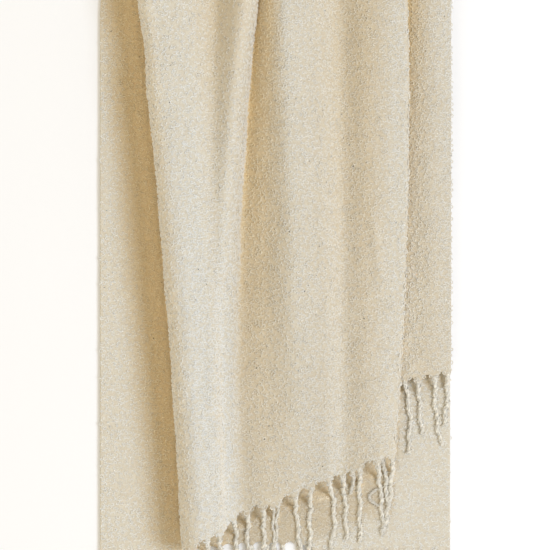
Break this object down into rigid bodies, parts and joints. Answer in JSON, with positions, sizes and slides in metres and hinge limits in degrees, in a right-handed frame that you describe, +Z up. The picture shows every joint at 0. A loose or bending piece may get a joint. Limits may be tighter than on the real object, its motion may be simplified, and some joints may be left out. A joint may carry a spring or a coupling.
{
  "type": "boucle throw",
  "caption": "Cream boucle throw, doubled over and laid in soft lengthwise folds, with a fringe of yarn strands along both ends.",
  "frame": {"origin": "middle of the throw's outline on the floor it lies on", "axes": "+Y from the fringed ends up to the turn-over, +X across to the pleated side, +Z up from the floor"},
  "size_m": [0.3544, 0.7526, 0.0605],
  "materials": {
    "boucle_cloth": "looped cream boucle weave, matt",
    "fringe_yarn": "fuzzy curled cream yarn, matt"
  },
  "bodies": {
    "root": {"throw_cloth": "boucle_cloth", "front_fringe": "fringe_yarn", "back_fringe": "fringe_yarn"}
  },
  "joints": []
}
